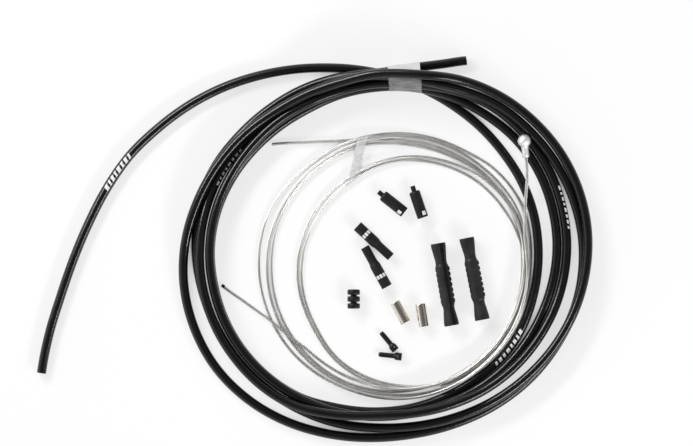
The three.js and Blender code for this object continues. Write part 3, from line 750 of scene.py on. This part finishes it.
def cut_end(name, centre, inward):
    towards = centre + inward
    deep = CUT_DEPTH - 0.0001
    sunk = 0.00016
    proud = -0.00004
    wrap_rows = rounded(
        [(WRAP_INNER_RADIUS, deep), (WRAP_INNER_RADIUS, sunk), (WRAP_RADIUS, sunk), (WRAP_RADIUS, deep)],
        0.00006,
    )
    wrap = turned(name + "_wrap", wrap_rows, centre, towards, 48)
    finish_piece(wrap, wrap_steel, "wire_steel")
    liner_rows = rounded(
        [(LINER_BORE_RADIUS, deep), (LINER_BORE_RADIUS, proud), (LINER_RADIUS, proud), (LINER_RADIUS, deep)],
        0.00006,
    )
    liner = turned(name + "_liner", liner_rows, centre, towards, 48)
    finish_piece(liner, liner_white, "clear_film")
    # A near-black disc deep in the liner's bore: painted shade in the hole.
    shade_disc_rows = [(0.0, 0.0019), (0.001, 0.0019), (0.001, 0.0022), (0.0, 0.0022)]
    shade_disc = turned(name + "_bore_shade_disc", shade_disc_rows, centre, towards, 32)
    finish_piece(shade_disc, bore_painted_shade, "fitting_plastic")


cut_end("housing_cut_left", housing["centres"][0], housing["tangents"][0])
cut_end("housing_cut_right", housing["centres"][-1], -housing["tangents"][-1])
tuple(housing["centres"][0])


# Inner wires: nineteen-strand wire, so twelve strands show round the outside.

def wire_tube(name, strand):
    per_strand = 4
    columns = 12 * per_strand
    around = np.linspace(0, 2 * math.pi, columns, endpoint=False)
    half = math.pi / 12
    own = WIRE_RADIUS * math.sin(half) / (1 + math.sin(half))
    ring = WIRE_RADIUS - own
    delta = ((around + half) % (2 * half)) - half
    inside = np.maximum(own**2 - (ring * np.sin(delta)) ** 2, 0.0)
    radius = ring * np.cos(delta) + np.sqrt(inside)
    c = strand["centres"]
    t = strand["tangents"]
    angles = around[None, :] + 2 * math.pi * strand["walked"][:, None] / LAY_LENGTH
    radii = np.tile(radius, (len(c), 1))
    grid = rings_of(c, t, radii, angles)
    verts = grid.reshape(-1, 3)
    faces = grid_faces(len(c), columns)
    faces += end_faces(len(verts), columns)
    return mesh_object(name, verts, faces, 50)


long_tube = wire_tube("long_wire_strands", long_wire)
finish_piece(long_tube, wire_steel, "wire_steel", "long_inner_wire")
short_tube = wire_tube("short_wire_strands", short_wire)
finish_piece(short_tube, wire_steel, "wire_steel", "short_inner_wire")

# Head: a ball on a short neck, cast on the long wire's end.

head_axis = -long_wire["tangents"][0]
neck_end = long_wire["centres"][0] + head_axis * 0.0003
head_rows = [(0.0, 0.0), (0.00125, 0.0), (0.0016, 0.0002), (NECK_RADIUS, 0.0007), (NECK_RADIUS, 0.0016)]
ball_centre = HEAD_LENGTH - BALL_RADIUS
neck_angle = math.asin(NECK_RADIUS / BALL_RADIUS)
touch = ball_centre - BALL_RADIUS * math.cos(neck_angle)
head_rows += [(NECK_RADIUS, touch - 0.0012), (0.00193, touch - 0.0006), (0.00208, touch + 0.0001)]
for step in range(1, 25):
    a = neck_angle + 0.16 + (math.pi - neck_angle - 0.16) * step / 24
    head_rows.append((max(BALL_RADIUS * math.sin(a), 0.0), ball_centre - BALL_RADIUS * math.cos(a)))
head = turned("cable_head", head_rows, neck_end, neck_end + head_axis, 64, 50, closed=False)
finish_piece(head, head_metal, "head_metal", "long_wire_head")

# A black, rounded tip on the long wire's free end, a little thicker than the wire.
tip_axis = long_wire["tangents"][-1]
tip_from = long_wire["centres"][-1] - tip_axis * 0.0016
tip_rows = [
    (0.0, 0.0), (0.00082, 0.0), (0.0009, 0.0002), (0.0009, 0.0013), (0.0008, 0.0016), (0.0005, 0.00185),
    (0.0, 0.00192),
]
tip = turned("long_wire_tip", tip_rows, tip_from, tip_from + tip_axis, 32, 50, closed=False)
finish_piece(tip, cap_paint, "cap_black")

tuple(long_wire["centres"][-1])
tuple(short_wire["centres"][0])


# Clear film: closed bands round the bundles, each cut across in many places.

# The outline of a band stretched round the strands where a plane cuts them.
def band_section(runs, origin, across, along, offset, gap, radius):
    cuts = []
    for centres in runs:
        d = (centres[:, :2] - origin) @ along - offset
        for i in range(len(centres) - 1):
            if d[i] * d[i + 1] < 0:
                t = d[i] / (d[i] - d[i + 1])
                p = centres[i] + (centres[i + 1] - centres[i]) * t
                run = centres[i + 1] - centres[i]
                run = run / np.linalg.norm(run)
                lean = abs(run[:2] @ along)
                cuts.append(((p[:2] - origin) @ across, p[2], 1 / max(lean, 0.5)))

    def at(angle):
        nu = math.cos(angle)
        nz = math.sin(angle)
        best = None
        reach = -1e9
        for u, z, wide in cuts:
            ru = (radius + gap) * wide
            rz = radius + gap
            size = math.hypot(ru * nu, rz * nz)
            value = u * nu + z * nz + size
            if value > reach:
                reach = value
                best = (u + ru * ru * nu / size, z + rz * rz * nz / size)
        return (
            origin[0] + across[0] * best[0] + along[0] * offset,
            origin[1] + across[1] * best[0] + along[1] * offset,
            best[1],
        )

    return at


def even_loop(loop, count):
    loop = np.array(loop + loop[:1])
    walked = np.concatenate([[0], np.cumsum(np.linalg.norm(np.diff(loop, axis=0), axis=1))])
    even = np.linspace(0, walked[-1], count, endpoint=False)
    return np.stack([np.interp(even, walked, loop[:, k]) for k in range(3)], axis=1)


# A closed band: its inner and its outer skin, an even loop at each cut.
def band(name, runs, radius, origin, across, along, width, cuts, columns, gap, thickness):
    origin = np.array(origin)
    across = np.array(across)
    along = np.array(along)
    rows = []
    for layer, order in ((gap, range(cuts)), (gap + thickness, range(cuts - 1, -1, -1))):
        for k in order:
            offset = -width / 2 + width * k / (cuts - 1)
            section = band_section(runs, origin, across, along, offset, layer, radius)
            loop = [section((i + 0.5) / 180 * 2 * math.pi) for i in range(180)]
            rows.append(even_loop(loop, columns))
    verts = np.concatenate(rows)
    obj = mesh_object(name, verts, grid_faces(len(rows), columns, True), 0)
    return outward(obj, 60)


def part_of(strand, start, end):
    fine, walked = strand["by_angle"]
    low = np.interp(start, fine, walked)
    high = np.interp(end, fine, walked)
    own = strand["walked"]
    return strand["centres"][(own > low) & (own < high)]


tape_slant = math.radians(-4)
tape_across = (math.sin(tape_slant), math.cos(tape_slant))
tape_along = (math.cos(tape_slant), -math.sin(tape_slant))
tape_origin = (COIL_CENTRE[0] + 0.0157, COIL_CENTRE[1] + 0.0923)
tape_spans = ((-12, 32), (340, 392), (700, 752), (1060, 1112), (1780, 1830))
tape_runs = [part_of(housing, *span) for span in tape_spans]
tape = band(
    "coil_tape", tape_runs, HOUSING_RADIUS, tape_origin, tape_across, tape_along,
    TAPE_WIDTH, 36, 144, TAPE_GAP, TAPE_THICKNESS,
)
finish_piece(tape, tape_film, "clear_film", "housing_tape")

tie_from = (RING_CENTRE[0] - 0.0242, RING_CENTRE[1] + 0.0460)
tie_to = (RING_CENTRE[0] - 0.0186, RING_CENTRE[1] + 0.0715)
tie_run = math.hypot(tie_to[0] - tie_from[0], tie_to[1] - tie_from[1])
tie_across = ((tie_to[0] - tie_from[0]) / tie_run, (tie_to[1] - tie_from[1]) / tie_run)
tie_along = (tie_across[1], -tie_across[0])
tie_runs = [part_of(long_wire, *span) for span in ((310, 368), (670, 728), (1030, 1088))]
tie_runs += [part_of(short_wire, *span) for span in ((-40, 8), (310, 368), (670, 728))]
tie = band(
    "wire_film", tie_runs, WIRE_RADIUS, tie_from, tie_across, tie_along,
    TIE_WIDTH, 8, 96, TIE_GAP, TIE_THICKNESS,
)
finish_piece(tie, film, "clear_film", "wire_tie")


# Fittings. Each profile is (radius, along, fillet) in millimetres.

nosed_profile = [
    (1.0, 0.0, 0.1), (1.3, 0.0, 0.2), (1.3, 3.0, 0.25), (2.45, 3.0, 0.35), (NOSED_RADIUS, 3.7, 0.4),
    (NOSED_RADIUS, 17.85, 0.15), (2.55, 18.0, 0.1), (2.55, 9.0, 0.1), (1.0, 9.0, 0.1),
]
connector_profile = [
    (2.55, 0.0, 0.08), (CONNECTOR_RADIUS, 0.0, 0.2), (CONNECTOR_RADIUS, 13.2, 0.8), (2.4, 15.0, 0.8),
    (2.4, 24.6, 0.45), (1.0, 24.6, 0.12), (1.0, 10.0, 0.1), (2.55, 10.0, 0.1),
]
metal_profile = [
    (1.0, 0.0, 0.1), (METAL_RADIUS, 0.0, 0.55), (METAL_RADIUS, 12.6, 0.12), (2.62, 12.6, 0.1),
    (2.62, 0.8, 0.1), (1.0, 0.8, 0.1),
]
cap_profile = [
    (0.0, 0.0, 0.0), (0.95, 0.05, 0.2), (1.35, 0.9, 0.3), (1.35, 8.4, 0.3), (CAP_HEAD_RADIUS, 9.6, 0.3),
    (CAP_HEAD_RADIUS, 12.6, 0.15), (0.85, 12.6, 0.12), (0.85, 3.0, 0.1), (0.0, 2.6, 0.0),
]

for kind, profile, r, places, material, slot in (
    ("nosed_ferrule", nosed_profile, NOSED_RADIUS, NOSED_PLACES, plastic, "fitting_plastic"),
    ("connector_ferrule", connector_profile, CONNECTOR_RADIUS, CONNECTOR_PLACES, plastic, "fitting_plastic"),
    ("metal_ferrule", metal_profile, METAL_RADIUS, METAL_PLACES, nickel, "ferrule_metal"),
):
    rows = rounded(scaled(profile), 0.0001)
    for number, (start, end) in enumerate(places, 1):
        name = f"{kind}_{number}"
        body = turned(name + "_body", rows, point(*start, r), point(*end, r))
        finish_piece(body, material, slot, name)


def ring_strip():
    hole = 0.85
    neck = 1.7
    step = 3.75
    width = 2.9
    r = RUBBER_RING_RADIUS
    profile = [(hole, 0.0, 0.1)]
    for i in range(3):
        y = i * step
        if i > 0:
            profile.append((neck, y, 0.2))
        profile += [(r, y, 0.9), (r, y + width, 0.9)]
        if i < 2:
            profile.append((neck, y + width, 0.2))
    profile.append((hole, 2 * step + width, 0.1))
    rings = turned("rubber_rings", rounded(scaled(profile), 0.0001), point(20.9, -32.2, r), point(20.9, 0, r))
    finish_piece(rings, rubber, "black_rubber", "rubber_ring_strip")


ring_strip()


# Marks on a surface: small skins of ink that stand a little proud of it.

class Marks:
    def __init__(self):
        self.verts = []
        self.faces = []

    def grid(self, spot, lengthwise, around, slant=0.0):
        first = len(self.verts)
        middle = (around[0] + around[-1]) / 2
        for y in lengthwise:
            for a in around:
                self.verts.append(spot(y + slant * (a - middle), a))
        rows = len(lengthwise)
        columns = len(around)
        for i in range(rows - 1):
            for j in range(columns - 1):
                k = first + i * columns + j
                self.faces.append((k, k + columns, k + columns + 1, k + 1))

    def dot(self, spot, y, a, radius, body_radius):
        first = len(self.verts)
        self.verts.append(spot(y, a))
        for k in range(20):
            turn = k / 20 * 2 * math.pi
            self.verts.append(spot(y + radius * math.cos(turn), a + radius / body_radius * math.sin(turn)))
        for k in range(20):
            self.faces.append((first, first + 1 + k, first + 1 + (k + 1) % 20))

    def made(self, name, material, slot):
        finish_piece(mesh_object(name, self.verts, self.faces, 0), material, slot)


def straight_spot(start, towards, radius):
    origin, side, along, top = laid(start, towards)

    def spot(y, a):
        return tuple(origin + along * y + (side * math.cos(a) + top * math.sin(a)) * (radius + INK_PROUD))

    return spot


# Points on a strand's skin, by distance from an angle of the coil and angle round it.
def strand_spot(strand, start_angle, radius):
    fine, walked = strand["by_angle"]
    start = np.interp(start_angle, fine, walked)
    own = strand["walked"]

    def spot(y, a):
        at = start + y
        centre = np.array([np.interp(at, own, strand["centres"][:, k]) for k in range(3)])
        tangent = np.array([np.interp(at, own, strand["tangents"][:, k]) for k in range(3)])
        tangent /= np.linalg.norm(tangent)
        side = np.cross(tangent, (0.0, 0.0, 1.0))
        side /= np.linalg.norm(side)
        top = np.cross(side, tangent)
        return tuple(centre + (side * math.cos(a) + top * math.sin(a)) * (radius + INK_PROUD))

    return spot


# Generic bars in place of the print on the housing.
def bars(marks, start_angle, length, middle, half_height, slant):
    spot = strand_spot(housing, start_angle, HOUSING_RADIUS)
    pattern = (0.1, 0.055, 0.085, 0.055, 0.1, 0.07, 0.085, 0.06)
    gap = (1.0 - sum(pattern)) / (len(pattern) - 1)
    y = 0.0
    around = np.radians(np.linspace(middle - half_height, middle + half_height, 7))
    for share in pattern:
        marks.grid(spot, np.linspace(y, y + share, 4) * length, around, slant)
        y += share + gap


# Where each row starts along the coil, its length, its middle and half height round the
# housing in degrees, and its slant.
prints = Marks()
for start_angle, length, middle, half_height, slant in (
    (-77.5, 0.0225, 90, 34, 0.0009),
    (1012, 0.0235, 58, 15, 0.0006),
    (791, 0.0235, 128, 15, 0.0006),
    (119, 0.0232, 96, 24, 0.0008),
):
    bars(prints, start_angle, length, middle, half_height, slant)
prints.made("housing_print_bars", ink, "housing_jacket")

# A square near the open end of each nosed ferrule and a ring of bars on each connector
labels = Marks()
for ends, around in zip(NOSED_PLACES, ((36, 76), (98, 138))):
    spot = straight_spot(*(point(*end, NOSED_RADIUS) for end in ends), NOSED_RADIUS * MM)
    labels.grid(spot, np.linspace(0.0146, 0.0168, 4), np.radians(np.linspace(*around, 8)))
for ends in CONNECTOR_PLACES:
    spot = straight_spot(*(point(*end, CONNECTOR_RADIUS) for end in ends), CONNECTOR_RADIUS * MM)
    for k in range(10):
        around = np.radians(np.linspace(36 * k + 4, 36 * k + 32, 7))
        labels.grid(spot, np.linspace(0.0056, 0.0076, 4), around)
labels.made("ferrule_marks", ink, "fitting_plastic")

# A small flat disc of bright metal on the head of each end cap.
bright_spots = Marks()
for (tip_end, open_end), y, a in zip(CAP_PLACES, (0.0108, 0.0106), (1.8, 1.57)):
    tip_point = point(*tip_end, CAP_TIP_HEIGHT)
    open_point = point(*open_end, CAP_OPEN_HEIGHT)
    spot = straight_spot(tip_point, open_point, CAP_HEAD_RADIUS * MM)
    bright_spots.dot(spot, y, a, 0.0005, CAP_HEAD_RADIUS * MM)
bright_spots.made("end_cap_bright_spots", nickel, "ferrule_metal")


# A sleeve with flared ends, seven flat pads on its right side and low ribs on its left.
# The groove is an angle round the sleeve, or None; the faces in the groove carry painted shade.
def frame_sleeve(name, top, bottom, groove):
    columns = 96
    around = np.linspace(0, 2 * math.pi, columns, endpoint=False)
    around = np.where(around > math.pi, around - 2 * math.pi, around)
    half = 22.5
    bore = 2.55
    pads = 7
    pad_step = 2.9
    pad_reach = 4.05
    knots = [
        (-half, 3.85), (-half + 0.3, 4.05), (-half + 2.2, 3.98), (-half + 4.4, 3.7), (-half + 6.5, 3.42),
        (-half + 8.5, 3.12), (-half + 10.2, 3.1), (-half + 10.9, 3.3), (-half + 11.7, 3.6),
        (half - 12.7, 3.6), (half - 11.9, 3.3), (half - 11.2, 3.1), (half - 9, 3.12), (half - 7, 3.4),
        (half - 4.6, 3.68), (half - 2.2, 3.98), (half - 0.3, 4.05), (half, 3.85),
    ]
    ys = np.array([k[0] for k in knots])
    rs = np.array([k[1] for k in knots])
    rows = []
    for y in np.concatenate([[-half], np.linspace(-half + 0.02, half - 0.02, 260), [half]]):
        radius = np.full(columns, np.interp(y, ys, rs))
        for k in range(pads):
            centre = -half + 13.4 + pad_step * k
            inside = 1 - ease(abs(y - centre), 0.9, 1.12)
            wide = 1 - ease(np.abs(around), math.radians(21), math.radians(25))
            flat = pad_reach / np.cos(np.clip(around, -0.6, 0.6))
            radius = radius + (flat - radius) * inside * wide
            behind = 1 - ease(math.pi - np.abs(around), math.radians(21), math.radians(25))
            radius = radius + 0.2 * inside * behind
        if groove is not None:
            deep = np.minimum(1.1, radius - bore - 0.2)
            radius = radius - deep * (1 - ease(np.abs(around - groove), 0.16, 0.3))
        rows.append((radius * MM, y * MM))
    lip = bore + 0.07
    rows += scaled([(lip, half), (bore, half - 0.1), (bore, 0.0), (bore, 0.1 - half), (lip, -half)])
    middle = point((top[0] + bottom[0]) / 2, (top[1] + bottom[1]) / 2, SLEEVE_HEIGHT)
    towards = point(*top, SLEEVE_HEIGHT)
    obj = turned(name + "_body", rows, middle, towards, columns, 50)
    finish_piece(obj, sleeve_rubber, "black_rubber", name)
    # The faces inside the groove get the near-black material, painted shade on top of the shading that its
    # depth gives.
    if groove is not None:
        obj.data.materials.append(groove_painted_shade)
        origin, side, _, up = laid(middle, towards)
        for face in obj.data.polygons:
            offset = np.array(face.center) - origin
            across = offset @ side
            height = offset @ up
            in_groove = abs(math.atan2(height, across) - groove) < 0.27
            if in_groove and math.hypot(across, height) > (bore + 0.15) * MM:
                face.material_index = 1


frame_sleeve("frame_sleeve_1", *SLEEVE_PLACES[0], 1.12)
frame_sleeve("frame_sleeve_2", *SLEEVE_PLACES[1], None)


cap_rows = rounded(scaled(cap_profile), 0.0001, closed=False)
for number, (tip_end, open_end) in enumerate(CAP_PLACES, 1):
    name = f"end_cap_{number}"
    tip_point = point(*tip_end, CAP_TIP_HEIGHT)
    open_point = point(*open_end, CAP_OPEN_HEIGHT)
    body = turned(name + "_body", cap_rows, tip_point, open_point, 48, 35, closed=False)
    finish_piece(body, cap_paint, "cap_black", name)


# Floor and light

# A pale floor that takes the shadow. What the camera sees of it glows up to white, save in the narrow gaps
# between strands, where ambient occlusion takes the glow away as painted shade.
FLOOR_GLOW = 0.7
GAP_REACH = 0.006
GAP_DARK_UNDER = 0.06
GAP_CLEAR_OVER = 0.42


def make_floor():
    m = Nodes("floor_pale")
    m.set(Roughness=0.9, Specular_IOR_Level=0.1)
    path = m.tree.nodes.new("ShaderNodeLightPath")
    seen = path.outputs["Is Camera Ray"]
    for output in ("Is Glossy Ray", "Is Transmission Ray"):
        seen = m.joined("MAXIMUM", seen, path.outputs[output]).outputs[0]
    tone = m.ramp(m.noise(3, 2), [(0.2, (0.28, 0.28, 0.28)), (0.8, (0.3, 0.3, 0.3))])
    m.link(tone, "Base Color")
    m.set(Emission_Color=(1.0, 1.0, 1.0))
    # Ambient occlusion fades the glow out in narrow gaps: painted shade.
    open_sky = m.tree.nodes.new("ShaderNodeAmbientOcclusion")
    open_sky.samples = 8
    open_sky.inputs["Distance"].default_value = GAP_REACH
    strength = m.spread(seen, 0.0, FLOOR_GLOW, 0.0, 1.0)
    clear = m.spread(open_sky.outputs["AO"], 0.0, 1.0, GAP_DARK_UNDER, GAP_CLEAR_OVER)
    m.link(m.joined("MULTIPLY", strength, clear).outputs[0], "Emission Strength")
    return m.material


floor_mesh = bpy.data.meshes.new("floor")
half_size = 4.0
corners = [(x * half_size, y * half_size, 0) for x, y in ((-1, -1), (1, -1), (1, 1), (-1, 1))]
floor_mesh.from_pydata(corners, [], [(0, 1, 2, 3)])
floor = bpy.data.objects.new("floor", floor_mesh)
floor.location.z = -0.00005
floor.data.materials.append(make_floor())
bpy.context.scene.collection.objects.link(floor)


def area_light(name, place_at, target, size, power, size_y):
    data = bpy.data.lights.new(name, "AREA")
    data.shape = "RECTANGLE"
    data.size = size
    data.size_y = size_y
    data.energy = power
    obj = bpy.data.objects.new(name, data)
    obj.location = place_at
    direction = Vector(target) - Vector(place_at)
    obj.rotation_euler = direction.to_track_quat("-Z", "Y").to_euler()
    bpy.context.scene.collection.objects.link(obj)


area_light("key", (-0.72, 0.74, 0.72), (0.02, 0.0, 0.0), 0.95, 12.0, 0.16)
area_light("side", (0.76, -0.72, 0.62), (0.02, 0.0, 0.0), 0.8, 8.5, 0.14)


# A sky that is darker overhead and brighter on the left, so that metal shows both.
HORIZON = 0.9
OVERHEAD = 0.14
LEFT_SHARE = 1.45
RIGHT_SHARE = 0.45


def make_world():
    world = bpy.data.worlds.new("world")
    bpy.context.scene.world = world
    world.use_nodes = True
    tree = world.node_tree

    def shade(value, from_low, from_high, low, high):
        node = tree.nodes.new("ShaderNodeMapRange")
        node.inputs["From Min"].default_value = from_low
        node.inputs["From Max"].default_value = from_high
        node.inputs["To Min"].default_value = low
        node.inputs["To Max"].default_value = high
        tree.links.new(value, node.inputs["Value"])
        return node.outputs["Result"]

    background = tree.nodes["Background"]
    background.inputs["Color"].default_value = (1.0, 1.0, 1.0, 1.0)
    direction = tree.nodes.new("ShaderNodeTexCoord")
    split = tree.nodes.new("ShaderNodeSeparateXYZ")
    tree.links.new(direction.outputs["Generated"], split.inputs["Vector"])
    both = tree.nodes.new("ShaderNodeMath")
    both.operation = "MULTIPLY"
    tree.links.new(shade(split.outputs["Z"], 0.1, 0.9, HORIZON, OVERHEAD), both.inputs[0])
    tree.links.new(shade(split.outputs["X"], -1.0, 1.0, LEFT_SHARE, RIGHT_SHARE), both.inputs[1])
    tree.links.new(both.outputs[0], background.inputs["Strength"])


make_world()
bpy.context.scene.view_settings.view_transform = "Standard"
